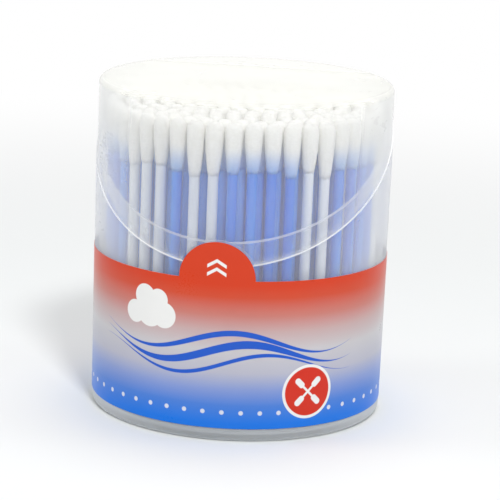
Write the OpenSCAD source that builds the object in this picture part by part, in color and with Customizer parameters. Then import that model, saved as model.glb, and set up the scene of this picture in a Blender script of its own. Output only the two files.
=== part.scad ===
// Round flip-top tub of cotton buds: a clear drum closed by a snap-on base cap, a clear lid whose
// oblique parting line runs up to a straight living hinge across the top, a film label with a
// press tab at the front, and a packed bundle of two-coloured buds.
// Origin: centre of the foot. +Z up, the press tab faces -Y. Millimetres.

/* [Drum] */
// Outer radius of the drum at its foot
foot_r = 36; // [33:0.1:42]
// Growth of the drum's radius for each millimetre of height
draft = 0.0075; // [0:0.0005:0.012]
// Thickness of the drum's wall
drum_wall = 0.9; // [0.8:0.05:0.95]
// Thickness of the lid's top and of the roof behind the hinge
roof_t = 1.1; // [1:0.05:1.6]
// Radius of the rounded edge around the top
top_edge_r = 1.5; // [1:0.1:2.2]
// Free height between the buds and the roof
headroom = 3.9; // [2.5:0.1:6]

/* [Lid] */
// Slope of the parting plane between drum and lid
parting_angle = 33.9; // [30:0.1:37]
// Gap along the parting plane
parting_gap = 0.12; // [0.06:0.01:0.2]
// Thickness of the lid's skirt
skirt_wall = 0.75; // [0.65:0.05:0.85]
// Step by which the skirt lies inside the drum's outline at the front
skirt_step = 0.12; // [0.02:0.02:0.2]

/* [Hinge] */
// Distance of the hinge behind the drum's centre
hinge_y = 20.9; // [18:0.1:24]
// Depth of the hinge's axis below the top
hinge_drop = 0.5; // [0.46:0.01:0.55]
// Radius of the round bead that folds
hinge_bead_r = 0.42; // [0.3:0.02:0.44]
// Running gap around the bead
hinge_gap = 0.06; // [0.03:0.01:0.1]
// Half width of the relief groove above the bead
hinge_relief = 1; // [0.9:0.05:1.5]

/* [Collar] */
// Height of the collar above the parting line at the front
collar_rise = 4.9; // [4.4:0.1:6]
// Slope of the collar's upper edge
collar_angle = 30.3; // [29:0.1:34]
// Thickness of the collar
collar_wall = 0.55; // [0.4:0.05:0.6]
// Gap between collar and skirt at the front
collar_gap = 0.12; // [0.08:0.01:0.2]
// Forward shift of the collar, which opens its gap towards the hinge
collar_shift = 0.3; // [0.26:0.02:0.4]
// Depth to which the collar is rooted in the drum's wall
collar_root = 1.4; // [0.8:0.1:3]
// Distance behind the centre at which the collar starts to fall away
collar_end_y = 5; // [2:0.1:5.5]
// Slope at which the collar's ends fall away
collar_end_angle = 45; // [40:1:60]

/* [Snap] */
// Radius of the sphere that forms a snap nub
nub_r = 3.2; // [2.8:0.1:5]
// Height of a nub above the collar
nub_h = 0.27; // [0.15:0.01:0.3]
// Gap between a nub and its dimple
nub_gap = 0.06; // [0.03:0.01:0.12]
// Angle of each nub from the front
nub_angle = 30; // [24:1:40]

/* [Press tab] */
// Radius of the round tongue under the label's tab
tongue_r = 9.2; // [7.5:0.1:11]
// Gap between the tongue and the notch in the skirt
notch_gap = 0.25; // [0.15:0.05:0.5]

/* [Base cap] */
// Height of the cap's outer rim
cap_rim_h = 3.1; // [2.8:0.1:5]
// Thickness of the cap's rim
cap_rim_wall = 0.75; // [0.6:0.05:0.9]
// Height of the floor that the buds stand on
floor_z = 1.6; // [1.3:0.1:2]
// Radius of the rounded foot edge
foot_edge_r = 1.2; // [0.6:0.1:1.4]
// Radius of the panel recessed into the underside
panel_r = 28; // [20:0.5:30]
// Depth of that panel
panel_depth = 0.6; // [0.3:0.05:0.8]
// Radius of the moulding spot in the middle of the panel
gate_r = 3; // [2:0.1:6]
// Depth of the moulding spot's face above the foot
gate_lift = 0.2; // [0.1:0.05:0.3]
// Thickness of the drum's spigot inside the rim
spigot_wall = 0.7; // [0.6:0.05:0.8]
// Gap between the spigot and the cap
spigot_gap = 0.05; // [0.03:0.01:0.1]
// Height of the spigot's inner step above the rim
spigot_root = 0.9; // [0.6:0.1:2]
// Radius of the round snap bead on the spigot
bead_r = 0.45; // [0.35:0.05:0.5]
// Height of the snap bead above the spigot's face
bead_h = 0.15; // [0.1:0.01:0.2]

/* [Label] */
// Thickness of the label's film
film_t = 0.12; // [0.08:0.01:0.2]
// Layer of glue under the film
film_gap = 0.03; // [0.02:0.01:0.05]
// Bare wall between the base cap and the label
label_low_margin = 0.14; // [0.1:0.02:1]
// Bare wall between the label's straight top edge and the lid
label_top_margin = 3.1; // [2:0.1:4]
// Amount by which the film stops short of the tongue's outline
tab_inset = 0.05; // [0.02:0.01:0.3]
// Width of the butt seam at the back
seam_w = 0.4; // [0.2:0.1:1]

/* [Buds] */
// Length of a bud over both cotton tips
bud_len = 75; // [70:0.5:82]
// Diameter of the stick
stick_d = 2.5; // [2:0.1:2.8]
// Bore of the hollow stick
stick_bore = 1.2; // [0.8:0.1:1.5]
// Widest diameter of a cotton tip
tip_d = 4.2; // [3.9:0.05:4.4]
// Length of a cotton tip
tip_len = 12.8; // [9:0.1:14]
// Cotton beyond the end of the stick
tip_cap = 2.4; // [1.8:0.1:4]
// Thickness of the cotton where it starts on the stick
tip_lip = 0.12; // [0.1:0.01:0.3]
// Gap between a stick and its cotton
stick_gap = 0.05; // [0.04:0.01:0.08]
// Gap between cotton tips of one ring
tip_gap = 0.02; // [0.01:0.01:0.1]
// Gap between neighbouring rings
ring_gap = 0.04; // [0.02:0.01:0.2]
// Gap between the outer ring and the spigot
bundle_gap = 0.1; // [0.05:0.05:0.5]
// Spacing of the buds along the outer ring
outer_pitch = 4.6; // [4.5:0.05:5]
// Angle of the outer ring's first bud from the front
outer_start = -77.8; // [-90:0.1:-70]
// Runs of blue and white sticks in turn around the outer ring
outer_runs = [4, 3, 1, 2, 4, 2, 4, 2, 3, 2, 4, 3, 2, 3, 4, 1];
// Angle from one ring's first bud to the next ring's
ring_turn = 137.5; // [0:0.5:360]
// Share of blue sticks in the inner rings
blue_share = 0.5; // [0.2:0.05:0.8]
// Share of blue sticks in the second ring, which shows between the outer sticks
second_blue_share = 0.85; // [0.2:0.05:0.95]
// Number that sets the mix of colours in the inner rings
mix_seed = 7; // [1:1:99]

/* [Hidden] */
$fn = 64;

// Heights along the tub
tub_h = floor_z + bud_len + headroom + roof_t;
hinge_z = tub_h - hinge_drop;
rim_top = cap_rim_h + spigot_gap;

// A length greater than the tub, for half spaces and through cuts
far = 2 * tub_h;

// Length by which a cut starts outside the face that it opens
overshoot = drum_wall;

// Radius of the drum's outside at height z
function drum_r(z) = foot_r + draft * z;

// Where the parting plane leaves the drum at the front
front_z = (hinge_z - tan(parting_angle) * (hinge_y + foot_r)) / (1 + draft * tan(parting_angle));
front_y = -drum_r(front_z);

// Heights of the parting plane and of the collar's upper plane at y
function parting_z(y) = hinge_z - tan(parting_angle) * (hinge_y - y);
function collar_z(y) = front_z + collar_rise + tan(collar_angle) * (y - front_y);

// Skirt and collar, from the drum's outline inwards
skirt_r = drum_r(front_z) - skirt_step;
skirt_in_r = skirt_r - skirt_wall;
skirt_in_edge_r = top_edge_r - skirt_wall;
collar_r = skirt_in_r - collar_gap - collar_shift;
collar_in_r = collar_r - collar_wall;

// Spigot inside the base cap
spigot_r = foot_r - cap_rim_wall - spigot_gap;
spigot_in_r = spigot_r - spigot_wall;
spigot_low = floor_z + spigot_gap;
spigot_high = rim_top + spigot_root;
bead_z = (spigot_low + rim_top) / 2;

// Label
label_low = cap_rim_h + label_low_margin;
label_top = front_z - label_top_margin;
tab_r = tongue_r - tab_inset;

// Bundle of buds
tip_r = tip_d / 2;
stick_r = stick_d / 2;
outer_ring_r = spigot_in_r - bundle_gap - tip_r;
ring_step = tip_d + ring_gap;
rings = floor((outer_ring_r - ring_step / 2) / ring_step) + 1;

function ring_r(ring) = outer_ring_r - ring * ring_step;

// Number of buds in a ring: the outer one is a little looser than the rest
function ring_count(ring) =
    ring == 0 ? floor(2 * PI * outer_ring_r / outer_pitch)
    : floor(180 / asin((tip_d + tip_gap) / (2 * ring_r(ring))));

function bud_angle(ring, bud) = outer_start + ring_turn * ring + bud * 360 / ring_count(ring);

// Running total of the outer ring's runs of one colour
run_ends = [for (run = 0, end = outer_runs[0]; run < len(outer_runs);
    run = run + 1, end = end + (run < len(outer_runs) ? outer_runs[run] : 0)) end];
run_total = run_ends[len(run_ends) - 1];

function outer_blue(bud) = len([for (end = run_ends) if (end <= bud % run_total) end]) % 2 == 0;

ring_mix = [for (ring = [0 : rings - 1]) rands(0, 1, ring_count(ring), mix_seed + ring)];

// The first two buds of each inner ring are one blue and one white
function is_blue(ring, bud) =
    ring == 0 ? outer_blue(bud)
    : bud < 2 ? bud == 0
    : ring_mix[ring][bud] < (ring == 1 ? second_blue_share : blue_share);

clear_plastic = [0.86, 0.9, 0.93, 0.35];
film_red = [0.87, 0.3, 0.18];
stick_blue = [0.3, 0.5, 0.87];
stick_white = [0.92, 0.93, 0.94];
cotton_white = [0.98, 0.98, 0.97];

// Solid of the drum's outline moved inwards by inset, from low to high
module drafted_core(inset, low, high) {
    translate([0, 0, low])
        cylinder(h = high - low, r1 = drum_r(low) - inset, r2 = drum_r(high) - inset);
}

// Solid of revolution with a straight side and a rounded upper edge
module round_topped(low, low_r, high, high_r, edge_r) {
    rotate_extrude() {
        polygon([[0, low], [low_r, low], [high_r, high - edge_r], [0, high - edge_r]]);
        translate([0, high - edge_r]) square([high_r - edge_r, edge_r]);
        intersection() {
            translate([high_r - edge_r, high - edge_r]) circle(r = edge_r);
            translate([high_r - edge_r, high - edge_r]) square(edge_r);
        }
    }
}

// Half space above a plane through the line (y, z) that slopes up along +Y, moved out by lift
module above(y, z, angle, lift = 0) {
    translate([0, y, z]) rotate([angle, 0, 0])
        translate([-far / 2, -far, lift]) cube([far, 2 * far, far]);
}

// Half space below the parting plane, moved down by depth
module below_parting(depth) {
    translate([0, hinge_y, hinge_z]) rotate([parting_angle, 0, 0])
        translate([-far / 2, -far, -far - depth]) cube([far, 2 * far, far]);
}

// Round bar towards -Y at the label's top edge, which shapes tongue, notch and tab
module tab_bar(r) {
    translate([0, 0, label_top]) rotate([90, 0, 0]) cylinder(h = far, r = r);
}

// Round bar along the hinge's axis
module hinge_bar(r) {
    translate([-far / 2, hinge_y, hinge_z]) rotate([0, 90, 0]) cylinder(h = far, r = r);
}

// Relief groove across the top, above the hinge's axis
module hinge_groove() {
    translate([-far / 2, hinge_y, hinge_z]) rotate([90, 0, 90]) linear_extrude(far)
        polygon([[0, 0], [2 * hinge_relief, 2 * hinge_drop], [-2 * hinge_relief, 2 * hinge_drop]]);
}

// Outer form of the closed drum with its roof
module drum_form() {
    round_topped(0, foot_r, tub_h, drum_r(tub_h - top_edge_r), top_edge_r);
}

// Outer form of the lid before it is cut along the parting plane
module lid_form() {
    round_topped(label_top, skirt_r, tub_h, skirt_r, top_edge_r);
}

// Space inside the drum, narrower where the spigot enters the base cap
module drum_cavity() {
    step_z = spigot_high + drum_r(spigot_high) - drum_wall - spigot_in_r;
    roof_z = tub_h - roof_t;
    rotate_extrude() polygon([
        [0, -overshoot],
        [spigot_in_r, -overshoot],
        [spigot_in_r, spigot_high],
        [drum_r(step_z) - drum_wall, step_z],
        [drum_r(roof_z) - drum_wall, roof_z],
        [0, roof_z]
    ]);
}

// Lower end of the drum: cut back to the spigot that stands in the base cap
module around_spigot() {
    difference() {
        translate([0, 0, -overshoot]) cylinder(h = rim_top + overshoot, r = foot_r + overshoot);
        translate([0, 0, spigot_low]) cylinder(h = far, r = spigot_r);
    }
}

module snap_bead(gap) {
    rotate_extrude() intersection() {
        translate([spigot_r + bead_h - bead_r, bead_z]) circle(r = bead_r + gap);
        translate([spigot_r - spigot_wall / 2, 0]) square([foot_r, far]);
    }
}

module collar_bore() {
    translate([0, -collar_shift, 0]) cylinder(h = far, r = collar_in_r);
}

// Collar inside the skirt: it follows the parting plane and fades out before the hinge
module collar() {
    difference() {
        union() {
            translate([0, -collar_shift, label_top]) cylinder(h = tub_h - roof_t - label_top, r = collar_r);
            intersection() {
                drafted_core(drum_wall / 2, label_top - collar_root, tub_h - top_edge_r);
                below_parting(parting_gap / 2);
            }
        }
        collar_bore();
        below_parting(collar_root);
        above(front_y, front_z + collar_rise, collar_angle);
        above(collar_end_y, collar_z(collar_end_y), -collar_end_angle);
    }
}

// Tongue that stands flush in the lid's notch and backs the label's tab
module tongue() {
    difference() {
        intersection() {
            drum_form();
            tab_bar(tongue_r);
            translate([-far / 2, -far, label_top]) cube(far);
        }
        collar_bore();
    }
}

// One snap nub on each side of the tongue
module nubs(r) {
    nub_y = -collar_r * cos(nub_angle) - collar_shift;
    nub_z = (parting_z(nub_y) + collar_z(nub_y)) / 2;
    for (side = [-1, 1])
        translate([0, -collar_shift, nub_z]) rotate([0, 0, side * nub_angle])
            translate([0, nub_r - nub_h - collar_r, 0]) sphere(r = r);
}

module drum_body() {
    color(clear_plastic) {
        difference() {
            intersection() {
                drum_form();
                below_parting(parting_gap / 2);
            }
            drum_cavity();
            around_spigot();
            hinge_groove();
        }
        collar();
        tongue();
        snap_bead(0);
        difference() {
            nubs(nub_r);
            collar_bore();
        }
        intersection() {
            hinge_bar(hinge_bead_r);
            lid_form();
        }
    }
}

module flip_lid() {
    color(clear_plastic) difference() {
        lid_form();
        round_topped(0, skirt_in_r, tub_h - roof_t, skirt_in_r, skirt_in_edge_r);
        below_parting(-parting_gap / 2);
        translate([-far / 2, hinge_y, 0]) cube(far);
        hinge_groove();
        hinge_bar(hinge_bead_r + hinge_gap);
        tab_bar(tongue_r + notch_gap);
        nubs(nub_r + nub_gap);
    }
}

module base_cap() {
    color(clear_plastic) difference() {
        translate([0, 0, cap_rim_h]) mirror([0, 0, 1])
            round_topped(0, drum_r(cap_rim_h), cap_rim_h, foot_r, foot_edge_r);
        translate([0, 0, floor_z]) cylinder(h = cap_rim_h, r = foot_r - cap_rim_wall);
        snap_bead(spigot_gap);
        difference() {
            translate([0, 0, -overshoot]) cylinder(h = panel_depth + overshoot, r = panel_r);
            translate([0, 0, gate_lift]) cylinder(h = panel_depth, r = gate_r);
        }
    }
}

module label() {
    outset = film_gap + film_t;
    high = label_top + tongue_r;
    color(film_red) difference() {
        intersection() {
            drafted_core(-outset, label_low, high);
            union() {
                translate([-far / 2, -far / 2, label_top - far]) cube(far);
                tab_bar(tab_r);
            }
        }
        drafted_core(-film_gap, label_low - overshoot, high + overshoot);
        translate([-seam_w / 2, 0, 0]) cube([seam_w, far, far]);
    }
}

// Cotton tip that points up, its open end at z = 0
module tip() {
    shoulder = tip_len - tip_r;
    rotate_extrude($fn = 24) difference() {
        union() {
            polygon([[0, 0], [stick_r + tip_lip, 0], [tip_r, shoulder], [0, shoulder]]);
            intersection() {
                translate([0, shoulder]) circle(r = tip_r);
                translate([0, shoulder]) square(tip_r);
            }
        }
        translate([0, -overshoot]) square([stick_r + stick_gap, tip_len - tip_cap + overshoot]);
    }
}

module stick() {
    translate([0, 0, floor_z + tip_cap]) difference() {
        cylinder(h = bud_len - 2 * tip_cap, r = stick_r, $fn = 24);
        translate([0, 0, -overshoot]) cylinder(h = bud_len, d = stick_bore, $fn = 24);
    }
}

// Places a child where a bud of a ring stands
module at_bud(ring, bud) {
    rotate([0, 0, bud_angle(ring, bud)]) translate([0, -ring_r(ring), 0]) children();
}

module sticks(ring, blue) {
    for (bud = [0 : ring_count(ring) - 1])
        if (is_blue(ring, bud) == blue) at_bud(ring, bud) stick();
}

module blue_sticks(ring) {
    color(stick_blue) sticks(ring, true);
}

module white_sticks(ring) {
    color(stick_white) sticks(ring, false);
}

module cotton_tips(ring) {
    color(cotton_white) for (bud = [0 : ring_count(ring) - 1]) at_bud(ring, bud) {
        translate([0, 0, floor_z + bud_len - tip_len]) tip();
        translate([0, 0, floor_z + tip_len]) mirror([0, 0, 1]) tip();
    }
}

drum_body();
flip_lid();
base_cap();
label();
for (ring = [0 : rings - 1]) {
    blue_sticks(ring);
    white_sticks(ring);
    cotton_tips(ring);
}
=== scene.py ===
import math
import random

import bmesh
import bpy
from mathutils import Matrix, Quaternion, Vector, noise


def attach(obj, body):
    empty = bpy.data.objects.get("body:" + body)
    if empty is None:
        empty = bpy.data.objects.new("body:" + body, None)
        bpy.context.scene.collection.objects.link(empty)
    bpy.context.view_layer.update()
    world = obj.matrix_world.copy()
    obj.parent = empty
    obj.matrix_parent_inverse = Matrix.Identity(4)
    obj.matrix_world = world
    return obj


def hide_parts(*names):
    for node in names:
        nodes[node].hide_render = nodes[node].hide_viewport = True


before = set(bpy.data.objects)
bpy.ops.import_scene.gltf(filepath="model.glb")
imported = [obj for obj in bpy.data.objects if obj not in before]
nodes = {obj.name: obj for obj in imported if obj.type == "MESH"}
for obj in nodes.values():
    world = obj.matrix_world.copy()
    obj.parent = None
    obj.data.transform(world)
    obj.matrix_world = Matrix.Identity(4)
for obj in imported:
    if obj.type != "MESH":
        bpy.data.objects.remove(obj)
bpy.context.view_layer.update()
mm = 0.001
fullWhite = (1, 1, 1, 1)
print("frame loaded:", len(nodes), "nodes")


def srgb(red, green, blue):
    # a colour as it is seen, 0 to 255, as the linear colour that the shaders take
    def linear(level):
        level /= 255
        return level / 12.92 if level <= 0.04045 else ((level + 0.055) / 1.055) ** 2.4
    return (linear(red), linear(green), linear(blue), 1)


# Placing of camera, lamps and meshes

aimHeight = 0.04   # metres above the foot, where the camera and the lamps point


def aim(thing, azimuth, elevation, distance, roll=0):
    # stands a camera or lamp that far off, facing the tub; azimuth runs from the front to the right
    azimuth, elevation = math.radians(azimuth), math.radians(elevation)
    outwards = Vector((
        math.cos(elevation) * math.sin(azimuth),
        -math.cos(elevation) * math.cos(azimuth),
        math.sin(elevation),
    ))
    thing.location = Vector((0, 0, aimHeight)) + distance * outwards
    thing.rotation_mode = "QUATERNION"
    turn = Quaternion((0, 0, 1), math.radians(roll))
    thing.rotation_quaternion = outwards.to_track_quat("Z", "Y") @ turn
    bpy.context.scene.collection.objects.link(thing)


def meshFrom(shape, name):
    mesh = bpy.data.meshes.new(name)
    shape.to_mesh(mesh)
    shape.free()
    return mesh


def addPiece(mesh, name, material):
    mesh.materials.append(material)
    piece = bpy.data.objects.new(name, mesh)
    bpy.context.scene.collection.objects.link(piece)
    return piece


# Camera: at the photograph's place, a long lens, the frame turned a little

cameraView = {  # degrees and metres, the lens in millimetres
    "azimuth": 8.5,
    "elevation": 13.185,
    "roll": 2.232,
    "distance": 0.6,
    "lens": 173.48,
    "shift": (0.0183, -0.0119),
    "clip": (0.01, 20),
}


def makeCamera(view):
    data = bpy.data.cameras.new("photoCamera")
    data.lens = view["lens"]
    data.shift_x, data.shift_y = view["shift"]
    data.clip_start, data.clip_end = view["clip"]
    camera = bpy.data.objects.new("photoCamera", data)
    aim(camera, view["azimuth"], view["elevation"], view["distance"], view["roll"])
    bpy.context.scene.camera = camera


makeCamera(cameraView)
bpy.context.scene.view_settings.view_transform = "Standard"
bpy.context.scene.cycles.transparent_max_bounces = 32   # faces of clear wall that one ray may pass
bpy.context.scene.cycles.diffuse_bounces = 8   # white cotton hands light on many times
print("camera set")


# Shader maths: a socket that can be added, multiplied and compared

class Value:
    def __init__(self, finish, socket):
        self.finish, self.socket = finish, socket

    def maths(self, operation, *values):
        return self.finish.node("ShaderNodeMath", {"operation": operation}, dict(enumerate(values)))

    def __add__(self, other):
        return self.maths("ADD", self, other)

    def __sub__(self, other):
        return self.maths("SUBTRACT", self, other)

    def __rsub__(self, other):
        return self.maths("SUBTRACT", other, self)

    def __mul__(self, other):
        return self.maths("MULTIPLY", self, other)

    def __truediv__(self, other):
        return self.maths("DIVIDE", self, other)

    def __pow__(self, other):
        return self.maths("POWER", self, other)

    def __abs__(self):
        return self.maths("ABSOLUTE", self)

    def __neg__(self):
        return self.maths("MULTIPLY", self, -1)

    def larger(self, other):
        return self.maths("MAXIMUM", self, other)

    def smaller(self, other):
        return self.maths("MINIMUM", self, other)

    def sine(self):
        return self.maths("SINE", self)

    def fraction(self):
        return self.maths("FRACT", self)

    def step(self, low, high):
        # 0 below low, 1 above high, smooth between, and the other way round when low is the larger
        settings = {"interpolation_type": "SMOOTHSTEP", "clamp": True}
        flip = low > high
        low, high = min(low, high), max(low, high)
        ends = {"From Min": low, "From Max": high, "To Min": float(flip), "To Max": float(not flip)}
        return self.finish.node("ShaderNodeMapRange", settings, {"Value": self, **ends})

    __radd__ = __add__
    __rmul__ = __mul__


def length(first, second):
    # length of the line to a point that lies so far along two axes
    return (first * first + second * second) ** 0.5


class Finish:
    # one material, made node by node
    def __init__(self, name, tree=None):
        self.material = None
        if tree is None:
            self.material = bpy.data.materials.new(name)
            self.material.use_nodes = True
            tree = self.material.node_tree
        self.tree = tree
        tree.nodes.clear()

    def node(self, kind, settings=None, inputs=None, output=0):
        made = self.tree.nodes.new(kind)
        for name, value in (settings or {}).items():
            if name == "stops":
                self.fillRamp(made.color_ramp, value)
            else:
                setattr(made, name, value)
        for name, value in (inputs or {}).items():
            if isinstance(value, Value):
                self.tree.links.new(value.socket, made.inputs[name])
            else:
                made.inputs[name].default_value = value
        return Value(self, made.outputs[output]) if len(made.outputs) else made

    def fillRamp(self, ramp, stops):
        while len(ramp.elements) < len(stops):
            ramp.elements.new(0.5)
        # all places before the colours, since the ramp keeps its elements sorted by place
        for element, (place, colour) in zip(ramp.elements, stops):
            element.position = place
        for element, (place, colour) in zip(ramp.elements, stops):
            element.color = colour

    def place(self):
        # Object coordinates in millimetres
        where = self.node("ShaderNodeTexCoord", output="Object")
        return self.node("ShaderNodeVectorMath", {"operation": "SCALE"}, {0: where, "Scale": 1 / mm})

    def axes(self, vector):
        split = self.node("ShaderNodeSeparateXYZ", inputs={0: vector})
        return [Value(self, split.socket.node.outputs[i]) for i in range(3)]

    def stretch(self, vector, factors):
        return self.node("ShaderNodeVectorMath", {"operation": "MULTIPLY"}, {0: vector, 1: factors})

    def grain(self, vector, size, detail=2, roughness=0.5):
        # noise with features of about that many millimetres
        inputs = {"Vector": vector, "Scale": 1 / size, "Detail": detail, "Roughness": roughness}
        return self.node("ShaderNodeTexNoise", {}, inputs)

    def mix(self, share, first, second):
        settings = {"data_type": "RGBA"}
        return self.node("ShaderNodeMix", settings, {0: share, 6: first, 7: second}, output=2)

    def bump(self, height, distance, strength=1):
        inputs = {"Height": height, "Distance": distance * mm, "Strength": strength}
        return self.node("ShaderNodeBump", {}, inputs, output="Normal")

    def surface(self, shader):
        self.node("ShaderNodeOutputMaterial", {}, {"Surface": shader})

    def principled(self, inputs):
        self.surface(self.node("ShaderNodeBsdfPrincipled", {}, inputs))
        return self.material


noiseMiddle = 0.5   # the level that the noise swings about


def subsurface(weight, depth):
    # depth in millimetres, the same for all colours
    return {"Subsurface Weight": weight, "Subsurface Radius": (1, 1, 1), "Subsurface Scale": depth * mm}


def dress(names, material):
    for name in names:
        for slot in nodes[name].material_slots:
            slot.material = material


# Clear moulded plastic of drum, lid and base cap

clearPlastic = {
    "colour": srgb(246, 247, 247),
    "haze": 0.12,          # share of light that each face scatters, seen face on
    "collarHaze": 0.05,    # the same for the thin collar
    "edgeHaze": 0.44,      # added where the wall is seen at a grazing angle
    "roofHaze": 0.36,      # the same for the flat top
    "unevenHaze": 0.05,
    "roofFrom": (79.7, 80.4),
    "roofColour": srgb(245, 245, 239),
    "parting": (20.9, 81.1, 33.9),   # a point of the plane in y and z, its slope
    "partingLine": 0.16,   # half width of the bright cut edges, mm
    "partingHaze": 0.7,
    "sideFade": 0.6,       # share of both bright edges that is lost towards the outline
    "outerFace": (36.03, 36.12),     # radii between which the outermost faces start
    "collarTop": (-36.32, 47.5, 30.3),   # the same three values for the collar's upper edge
    "collarLine": 0.12,    # and its half width and haze
    "collarLineHaze": 0.4,
    "skirtInside": 35.3,   # the collar's faces lie inside this radius
    "blend": 0.1,          # millimetres in which one part of the wall passes into the next
    "roughness": 0.2,
    "wavesRoughness": 0.1,
    "scuffsRoughness": 0.1,
    "bump": (0.15, 0.3),   # height in mm, strength
}

basePlastic = {
    # the grey is partly the cap's own hazier plastic and partly painted shade of the dark space inside it
    # near the floor
    "colour": srgb(218, 222, 225),
    "haze": 0.45,
    "edgeHaze": 0.35,
    "unevenHaze": 0.1,
    "roughness": 0.3,
    "wavesRoughness": 0.15,
    "scuffsRoughness": 0.2,
    "scuffsBump": 0.1,
    "bump": (0.15, 0.4),
}

mouldedPlastic = {
    "grazing": (0.08, 0.95),      # where between square on and outline the edge haze starts and is full
    "waves": (14, 1),             # size in mm and detail of the noise
    "scuffs": (3, 2),
    "scuffsStretch": (1, 1, 3),   # flattened, so that they run round the tub
    "lineCore": 0.4,              # share of a bright line's half width that is at full strength
}


def grazing(finish):
    # 0 where a face is seen square on, 1 along its outline
    facing = finish.node("ShaderNodeLayerWeight", {}, {"Blend": 0.5}, output="Facing")
    return facing.step(*mouldedPlastic["grazing"])


def mouldedSkin(finish, where):
    # slow waves of a moulded wall and fine scuffs that run round it
    waves = finish.grain(where, *mouldedPlastic["waves"])
    scuffs = finish.grain(finish.stretch(where, mouldedPlastic["scuffsStretch"]), *mouldedPlastic["scuffs"])
    return waves, scuffs


def heightOver(plane, y, z):
    # distance above a plane that slopes up along +Y
    planeY, planeZ, slope = plane
    slope = math.radians(slope)
    return (z - planeZ) * math.cos(slope) - (y - planeY) * math.sin(slope)


def brightLine(distance, halfWidth):
    # 1 on the line, 0 beyond its half width
    return abs(distance).step(halfWidth, mouldedPlastic["lineCore"] * halfWidth)


def clearFinish(look):
    finish = Finish("clearPlastic")
    where = finish.place()
    x, y, z = finish.axes(where)
    waves, scuffs = mouldedSkin(finish, where)
    radius = length(x, y)
    outer = radius.step(look["skirtInside"], look["skirtInside"] + look["blend"])
    above = heightOver(look["parting"], y, z)
    inCollar = above.step(0, look["blend"]) * (1 - outer)
    cut = brightLine(above, look["partingLine"]) * radius.step(*look["outerFace"])
    collarEdge = brightLine(heightOver(look["collarTop"], y, z), look["collarLine"]) * (1 - outer)
    thinner = (look["haze"] - look["collarHaze"]) * inCollar
    uneven = look["unevenHaze"] * (waves - noiseMiddle)
    side = grazing(finish)
    edges = look["partingHaze"] * cut + look["collarLineHaze"] * collarEdge
    edges = edges * (1 - look["sideFade"] * side)
    roof = z.step(*look["roofFrom"])
    edgeHaze = look["edgeHaze"] - (look["edgeHaze"] - look["roofHaze"]) * roof
    haze = look["haze"] + edgeHaze * side - thinner + uneven + edges
    return finish.principled({
        "Base Color": finish.mix(roof, look["colour"], look["roofColour"]),
        "Roughness": look["roughness"] + look["wavesRoughness"] * waves + look["scuffsRoughness"] * scuffs,
        "Alpha": haze.smaller(1),
        "Normal": finish.bump(waves, *look["bump"]),
    })


def baseFinish(look):
    finish = Finish("basePlastic")
    where = finish.place()
    waves, scuffs = mouldedSkin(finish, where)
    uneven = look["unevenHaze"] * (waves - noiseMiddle)
    haze = look["haze"] + look["edgeHaze"] * grazing(finish) + uneven
    return finish.principled({
        "Base Color": look["colour"],
        "Roughness": look["roughness"] + look["wavesRoughness"] * waves + look["scuffsRoughness"] * scuffs,
        "Alpha": haze.smaller(1),
        "Normal": finish.bump(waves + look["scuffsBump"] * scuffs, *look["bump"]),
    })


dress(["drum_body", "flip_lid"], clearFinish(clearPlastic))
dress(["base_cap"], baseFinish(basePlastic))
print("clear plastic dressed")


# Printed film label: fields of colour from orange-red over white to blue, with plain motifs

labelPrint = {  # places and sizes in millimetres
    "radius": 36.3,
    "filmInside": 36.09,   # the film's own inner face, at the foot of the label
    "filmBlend": 0.03,
    "draft": 0.0075,
    "rampHeight": 50,      # height that the ramp of colours covers
    "fields": (  # height and colour
        (4.5, srgb(10, 118, 228)),
        (9.0, srgb(74, 128, 216)),
        (13.0, srgb(136, 156, 212)),
        (17.0, srgb(186, 187, 202)),
        (22.5, srgb(202, 200, 203)),
        (27.0, srgb(200, 172, 172)),
        (31.0, srgb(203, 126, 116)),
        (35.5, srgb(211, 76, 46)),
        (38.5, srgb(214, 60, 18)),
    ),
    "white": srgb(240, 240, 238),
    "blue": srgb(24, 88, 200),
    "red": srgb(212, 44, 16),
    "soft": 0.1,           # half width of the edge of a motif
    "waves": ((21.5, 0.4, 1.0), (24.2, 0.9, 0.7), (18.9, -0.2, 0.5)),   # height, phase, half width
    "waveSwing": 2.6,
    "waveTurn": 0.14,      # radians a millimetre
    "waveMiddle": 2,
    "waveTaper": (36, 4),  # distances from the middle where the waves end and where they are full
    "wavePoint": 0.02,
    "tuft": ((-17, 30, 4), (-21.5, 29, 2.8), (-13, 29.4, 3.2), (-18.5, 33.2, 3), (-14.6, 33, 2.6)),
    "patch": (23.5, 12, 6),      # place along, height, radius
    "patchRim": 0.7,
    "bud": {  # the crossed buds on the patch, measured from their middle
        "tipAt": 3.1,
        "tipHalf": 0.7,
        "tipRadius": 0.75,
        "stickRadius": 0.28,
        "stickEnd": (3.2, 3),
    },
    "dots": (7.2, 4.6, 0.55),    # height, spacing, radius
    "dotStrength": 0.8,
    "tabMark": ((0, 44.2), (0, 42.2)),   # two chevrons: place along, height
    "chevronSlope": 0.6,
    "chevronHalf": 0.42,
    "chevronReach": (2.4, 2.2),
    "slowGrain": (16, 2),        # size in mm and detail of the noise
    "fineGrain": (0.35, 3),
    "tone": srgb(120, 120, 130),
    "toneShare": 0.08,
    "roughness": 0.22,
    "slowRoughness": 0.1,
    "fineRoughness": 0.06,
    "specular": 0.2,
    "fineBump": 0.012,
    "bump": (0.35, 0.4),
}

diagonal = 0.707


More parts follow.
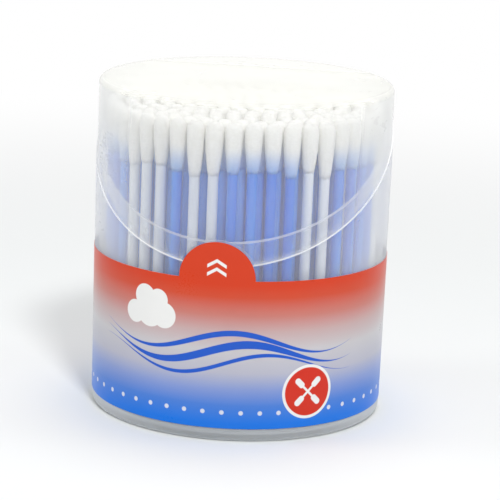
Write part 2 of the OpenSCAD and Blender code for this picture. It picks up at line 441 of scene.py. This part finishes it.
def labelFinish(look):
    finish = Finish("labelFilm")
    where = finish.place()
    x, y, z = finish.axes(where)
    turn = finish.node("ShaderNodeMath", {"operation": "ARCTAN2"}, {0: x, 1: -y})
    along = turn * look["radius"]  # millimetres round the drum from the middle of the front
    stops = [(height / look["rampHeight"], colour) for height, colour in look["fields"]]
    share = z / look["rampHeight"]
    printed = finish.node("ShaderNodeValToRGB", {"stops": stops}, {"Fac": share}, output="Color")
    soft = look["soft"]

    def blot(distance, radius):
        return distance.step(radius + soft, radius - soft)

    def disc(across, up, radius):
        return blot(length(along - across, z - up), radius)

    def bud(across, up, lean):
        # a plain cotton bud: a thin stick with a round-ended tip at each end
        size = look["bud"]
        dx, dz = along - across, z - up
        run = abs((dx + dz * lean) * diagonal)
        side = abs((dx * -lean + dz) * diagonal)
        past = (abs(run - size["tipAt"]) - size["tipHalf"]).larger(0)
        tips = blot(length(past, side), size["tipRadius"])
        stick = blot(side, size["stickRadius"]) * run.step(*size["stickEnd"])
        return tips.larger(stick)

    # thin waves across the front that run out to points
    taper = abs(along - look["waveMiddle"]).step(*look["waveTaper"])
    for height, phase, width in look["waves"]:
        swing = height + look["waveSwing"] * (along * look["waveTurn"] + phase).sine()
        wave = (abs(z - swing) - width * taper).step(soft, -soft) * taper.step(0, look["wavePoint"])
        printed = finish.mix(wave, printed, look["blue"])

    # a tuft of cotton from overlapping discs
    tuft = disc(*look["tuft"][0])
    for place in look["tuft"][1:]:
        tuft = tuft.larger(disc(*place))
    printed = finish.mix(tuft, printed, look["white"])

    # a row of small dots round the foot
    dotHeight, spacing, dotRadius = look["dots"]
    across = ((along / spacing).fraction() - 0.5) * spacing
    dots = blot(length(across, z - dotHeight), dotRadius)
    printed = finish.mix(look["dotStrength"] * dots, printed, look["white"])

    # a round patch with two crossed buds
    patchAlong, patchHeight, patchRadius = look["patch"]
    rim = disc(patchAlong, patchHeight, patchRadius + look["patchRim"])
    printed = finish.mix(rim, printed, look["white"])
    printed = finish.mix(disc(patchAlong, patchHeight, patchRadius), printed, look["red"])
    buds = bud(patchAlong, patchHeight, 1).larger(bud(patchAlong, patchHeight, -1))
    printed = finish.mix(buds, printed, look["white"])

    # on the tab, two chevrons that point up to the lid
    for markAlong, markHeight in look["tabMark"]:
        across = abs(along - markAlong)
        arm = abs(z - markHeight + look["chevronSlope"] * across) - look["chevronHalf"]
        mark = arm.step(soft, -soft) * across.step(*look["chevronReach"])
        printed = finish.mix(mark, printed, look["white"])

    # the film's inner face is bare white
    radius = length(x, y) - z * look["draft"]
    inner = radius.step(look["filmInside"], look["filmInside"] - look["filmBlend"])
    printed = finish.mix(inner, printed, look["white"])

    slow = finish.grain(where, *look["slowGrain"])
    fine = finish.grain(where, *look["fineGrain"])
    return finish.principled({
        "Base Color": finish.mix(look["toneShare"] * slow, printed, look["tone"]),
        "Roughness": look["roughness"] + look["slowRoughness"] * slow + look["fineRoughness"] * fine,
        "Specular IOR Level": look["specular"],
        "Normal": finish.bump(slow + look["fineBump"] * fine, *look["bump"]),
    })


dress(["label"], labelFinish(labelPrint))
print("label dressed")


# Sticks: satin extruded plastic, blue and white

stickLook = {
    "roughness": 0.38,
    "streaksRoughness": 0.15,
    "lots": (3.1, 1),              # size in mm and detail: tones that differ from stick to stick
    "lotsStretch": (1, 1, 0.02),   # drawn out along the stick
    "lotsRange": (0.35, 0.65),
    "lotsShare": 0.75,
    "streaks": (0.35, 2),
    "streaksStretch": (1, 1, 0.05),
    "streaksShare": 0.25,
    "subsurface": (0.4, 1.2),      # weight, depth in mm
    "bump": (0.03, 0.5),
    "rings": {"outer": (1,), "second": (2,), "deep": range(3, 9)},
    "outer": {
        "blue": (srgb(4, 112, 228), srgb(44, 148, 246)),
        "white": (srgb(216, 223, 236), srgb(232, 237, 245)),
    },
    "second": {  # painted light: the inner buds get lighter, bluer colours that stand for the light reaching them through the blue sticks around them
        "blue": (srgb(70, 150, 250), srgb(112, 178, 255)),
        "white": (srgb(208, 224, 252), srgb(226, 238, 255)),
    },
    # painted light: the deeper rings too, their white sticks tinted blue for the light through the blue
    # sticks
    "deep": {
        "blue": (srgb(56, 148, 255), srgb(96, 176, 255)),
        "white": (srgb(160, 200, 255), srgb(182, 214, 255)),
    },
}


def stickFinish(name, colours, look):
    dark, light = colours
    finish = Finish(name)
    where = finish.place()
    lots = finish.grain(finish.stretch(where, look["lotsStretch"]), *look["lots"]).step(*look["lotsRange"])
    streaks = finish.grain(finish.stretch(where, look["streaksStretch"]), *look["streaks"])
    tone = look["lotsShare"] * lots + look["streaksShare"] * streaks
    return finish.principled({
        "Base Color": finish.mix(tone, dark, light),
        "Roughness": look["roughness"] + look["streaksRoughness"] * streaks,
        **subsurface(*look["subsurface"]),
        "Normal": finish.bump(streaks, *look["bump"]),
    })


# each ring depth gets its own copy of the stick colours; the inner copies hold painted light
for depth, itsRings in stickLook["rings"].items():
    for colour, colours in stickLook[depth].items():
        material = stickFinish(f"{depth}{colour.title()}Stick", colours, stickLook)
        dress([f"{colour}_sticks_ring_{ring}" for ring in itsRings], material)
print("sticks dressed")


# Cotton tips: wound cotton, each with its own length, girth and lumps

budBundle = {  # as in the part's source, millimetres and degrees
    "outerRadius": 32.3,
    "ringStep": 4.24,
    "counts": (44, 41, 35, 29, 22, 16, 10, 3),
    "firstAngle": -77.8,
    "ringTurn": 137.5,
    "widestPitch": 4.6,
    "lowEnd": 1.6,
    "highEnd": 76.6,
}

cottonTip = {
    "radius": 2.1,
    "length": 12.8,
    "profile": (  # share of the radius, share of the length from the stick side
        (0.605, 0.0), (0.71, 0.12), (0.91, 0.45), (1.0, 0.78), (0.93, 0.91), (0.62, 0.978),
    ),
    "segments": 10,
    "neighbourGap": 0.05,
    "lengthSpread": 1.1,
    "endSpread": 0.35,
    "girthSpread": 0.03,
    "swellRate": 2,        # the swelling grows with the share of the length times this, up to 1
    "lump": 0.1,
    "lumpGrain": 0.35,     # features a millimetre
    "lumpMiddle": 0.3,
    "seedRange": 50,
}


def tipMesh(tip):
    # one tip that points up, its stick side at the origin, spun from its outline
    shape = bmesh.new()
    tall, radius = tip["length"], tip["radius"]
    line = [shape.verts.new((radius * share, 0, tall * height)) for share, height in tip["profile"]]
    line.append(shape.verts.new((0, 0, tall)))
    edges = [shape.edges.new(pair) for pair in zip(line, line[1:])]
    bmesh.ops.spin(
        shape, geom=line + edges, cent=(0, 0, 0), axis=(0, 0, 1), dvec=(0, 0, 0),
        angle=2 * math.pi, steps=tip["segments"], use_merge=True,
    )
    bmesh.ops.remove_doubles(shape, verts=shape.verts, dist=0.001)
    bmesh.ops.holes_fill(shape, edges=[edge for edge in shape.edges if edge.is_boundary])
    bmesh.ops.recalc_face_normals(shape, faces=shape.faces)
    fromStick = shape.verts.layers.float.new("fromStick")   # 0 at the open end, 1 at the round end
    shape.verts.layers.float.new("onBlue")
    for vert in shape.verts:
        vert[fromStick] = vert.co.z / tall
    return meshFrom(shape, "oneTip")


def addTip(ring, template, tip, widen, angle, place, upwards, blue, dice):
    # a copy of the tip at one end of a bud, with its own size and lumps
    before = len(ring.verts)
    ring.from_mesh(template)
    ring.verts.ensure_lookup_table()
    added = ring.verts[before:]
    onBlue = ring.verts.layers.float["onBlue"]
    longer = 1 + tip["lengthSpread"] * dice.uniform(-1, 1) / tip["length"]
    thinner = tip["girthSpread"] * dice.random()
    end = tip["endSpread"] * dice.random()
    seed = Vector((dice.uniform(0, tip["seedRange"]), dice.uniform(0, tip["seedRange"]), 0))
    turn = Matrix.Rotation(dice.uniform(0, 2 * math.pi), 4, "Z")
    bmesh.ops.transform(ring, matrix=turn, verts=added)
    for vert in added:
        # the open end stays close round the stick, the rest swells and gets its lumps
        height = vert.co.z
        swell = min(1, tip["swellRate"] * height / tip["length"])
        level = noise.noise(vert.co * tip["lumpGrain"] + seed) - tip["lumpMiddle"]
        lump = tip["lump"] * level / tip["radius"]
        girth = 1 + swell * (lump - thinner)
        vert.co.x *= girth * (1 + swell * (widen - 1))
        vert.co.y *= girth
        vert[onBlue] = float(blue)
    base = -longer * tip["length"] - end
    bmesh.ops.scale(ring, vec=(1, 1, longer), verts=added)
    bmesh.ops.translate(ring, vec=(0, 0, base), verts=added)
    bmesh.ops.scale(ring, vec=(1, 1, 1 if upwards else -1), verts=added)
    bmesh.ops.transform(ring, matrix=Matrix.Rotation(angle, 4, "Z"), verts=added)
    bmesh.ops.translate(ring, vec=place, verts=added)


def blueBuds(number, start, count):
    # which buds of a ring stand on a blue stick, read from the ring's own solid
    found = set()
    for vert in nodes[f"blue_sticks_ring_{number}"].data.vertices:
        angle = math.degrees(math.atan2(vert.co.x, -vert.co.y))
        found.add(round((angle - start) * count / 360) % count)
    return found


def makeCottonRing(number, bundle, tip, template, material):
    dice = random.Random(number)
    radius = bundle["outerRadius"] - (number - 1) * bundle["ringStep"]
    count = bundle["counts"][number - 1]
    pitch = 2 * radius * math.sin(math.pi / count)
    widen = (min(pitch, bundle["widestPitch"]) - tip["neighbourGap"]) / (2 * tip["radius"])
    start = bundle["firstAngle"] + bundle["ringTurn"] * (number - 1)
    blues = blueBuds(number, start, count)
    ring = bmesh.new()
    for bud in range(count):
        angle = math.radians(start + bud * 360 / count)
        x, y = radius * math.sin(angle), -radius * math.cos(angle)
        for height, upwards in ((bundle["highEnd"], True), (bundle["lowEnd"], False)):
            addTip(ring, template, tip, widen, angle, (x, y, height), upwards, bud in blues, dice)
    bmesh.ops.recalc_face_normals(ring, faces=ring.faces)
    bmesh.ops.scale(ring, vec=(mm, mm, mm), verts=ring.verts)
    name = f"cottonRing{number}"
    mesh = meshFrom(ring, name)
    mesh.polygons.foreach_set("use_smooth", [True] * len(mesh.polygons))
    piece = addPiece(mesh, name, material)
    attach(piece, "tub")
    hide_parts(f"cotton_tips_ring_{number}")


cottonLook = {
    # painted shade: the hollows of the winding are a little darker than its crests
    "hollowShade": srgb(243, 242, 237),
    "crests": srgb(253, 252, 248),
    "wound": (0.8, 4, 0.65),         # size in mm, detail and roughness of the noise
    "woundStretch": (1, 1, 2.2),     # flattened, as cotton is wound round
    "woundRange": (0.3, 0.7),
    "fuzz": (0.18, 3),
    "strands": (0.3, 2),
    "strandsStretch": (1, 1, 0.15),  # drawn out along the stick
    "strandsSpread": 0.9,
    "strandsRange": (-0.1, 0.9),
    "wisp": 0.1,           # share of the length where single strands end
    "overBlue": srgb(150, 186, 242),   # thin cotton shows the blue stick under it
    "blueUpTo": 0.6,       # share of the length
    "blueStick": srgb(24, 130, 238),
    "whiteStick": srgb(230, 235, 246),
    "roughness": 0.95,
    "subsurface": (0.8, 2),          # weight, depth in mm
    "sheen": 0.25,
    "fuzzBump": 0.4,
    "bump": (0.35, 0.7),
}


def cottonFinish(look):
    finish = Finish("woundCotton")
    where = finish.place()
    wound = finish.grain(finish.stretch(where, look["woundStretch"]), *look["wound"])
    fuzz = finish.grain(where, *look["fuzz"])
    strands = finish.grain(finish.stretch(where, look["strandsStretch"]), *look["strands"])
    fromStick = finish.node("ShaderNodeAttribute", {"attribute_name": "fromStick"}, output="Fac")
    onBlue = finish.node("ShaderNodeAttribute", {"attribute_name": "onBlue"}, output="Fac")
    strand = fromStick / look["wisp"] + look["strandsSpread"] * (strands - noiseMiddle)
    strand = strand.step(*look["strandsRange"])
    # painted shade: darker in the hollows, where the bump's noise is low
    cotton = finish.mix(wound.step(*look["woundRange"]), look["hollowShade"], look["crests"])
    cotton = finish.mix(onBlue * fromStick.step(look["blueUpTo"], 0), cotton, look["overBlue"])
    stick = finish.mix(onBlue, look["whiteStick"], look["blueStick"])
    return finish.principled({
        "Base Color": finish.mix(strand, stick, cotton),
        "Roughness": look["roughness"],
        **subsurface(*look["subsurface"]),
        "Sheen Weight": look["sheen"],
        "Normal": finish.bump(wound + look["fuzzBump"] * fuzz, *look["bump"]),
    })


cottonMaterial = cottonFinish(cottonLook)
oneTip = tipMesh(cottonTip)
for ringNumber in range(1, len(budBundle["counts"]) + 1):
    makeCottonRing(ringNumber, budBundle, cottonTip, oneTip, cottonMaterial)
print("cotton tips made")


# Floor, world and lamps

studio = {
    "floorSize": 8,
    "floorDrop": 0.05,
    "floorColour": srgb(239, 241, 241),
    "clearFrom": 0.12,   # metres from the tub where the floor starts to fade to white
    "clearTo": 0.45,
    "worldLevel": 0.5,
    "lamps": {  # azimuth from the front, elevation, distance, size, watts
        "key": (22, 47, 0.9, 0.14, 3.6),
        "left": (-78, 24, 0.8, 0.3, 1),
        "right": (100, 24, 0.8, 0.3, 0.5),
        "top": (170, 78, 0.8, 0.4, 1.6),
    },
}


def seenDirectly(finish):
    # 1 for what the camera, a reflection or a clear wall shows, 0 for light on the object
    rays = finish.node("ShaderNodeLightPath", output="Is Camera Ray").socket.node
    kinds = ("Is Camera Ray", "Is Glossy Ray", "Is Transmission Ray")
    camera, glossy, through = (Value(finish, rays.outputs[kind]) for kind in kinds)
    return (camera + glossy + through).smaller(1)


def makeFloor(look):
    finish = Finish("floor")
    x, y, z = finish.axes(finish.node("ShaderNodeTexCoord", output="Object"))
    far = length(x, y).step(look["clearFrom"], look["clearTo"])
    lit = finish.node("ShaderNodeBsdfDiffuse", {}, {"Color": look["floorColour"]})
    white = finish.node("ShaderNodeEmission", {}, {"Color": fullWhite, "Strength": 1})
    share = far * seenDirectly(finish)
    finish.surface(finish.node("ShaderNodeMixShader", {}, {0: share, 1: lit, 2: white}))
    shape = bmesh.new()
    bmesh.ops.create_grid(shape, x_segments=1, y_segments=1, size=look["floorSize"] / 2)
    bmesh.ops.translate(shape, vec=(0, 0, -look["floorDrop"] * mm), verts=shape.verts)
    floor = addPiece(meshFrom(shape, "floor"), "floor", finish.material)


def makeWorld(look):
    world = bpy.data.worlds.new("studio")
    world.use_nodes = True
    bpy.context.scene.world = world
    finish = Finish("studio", world.node_tree)
    level = look["worldLevel"]
    strength = level + (1 - level) * seenDirectly(finish)
    shader = finish.node("ShaderNodeBackground", {}, {"Color": fullWhite, "Strength": strength})
    finish.node("ShaderNodeOutputWorld", {}, {"Surface": shader})


def makeLamp(name, azimuth, elevation, distance, size, watts):
    data = bpy.data.lights.new(name, "AREA")
    data.shape, data.size, data.energy = "DISK", size, watts
    aim(bpy.data.objects.new(name, data), azimuth, elevation, distance)


makeFloor(studio)
makeWorld(studio)
for lampName, lampValues in studio["lamps"].items():
    makeLamp(lampName, *lampValues)
print("studio lit")
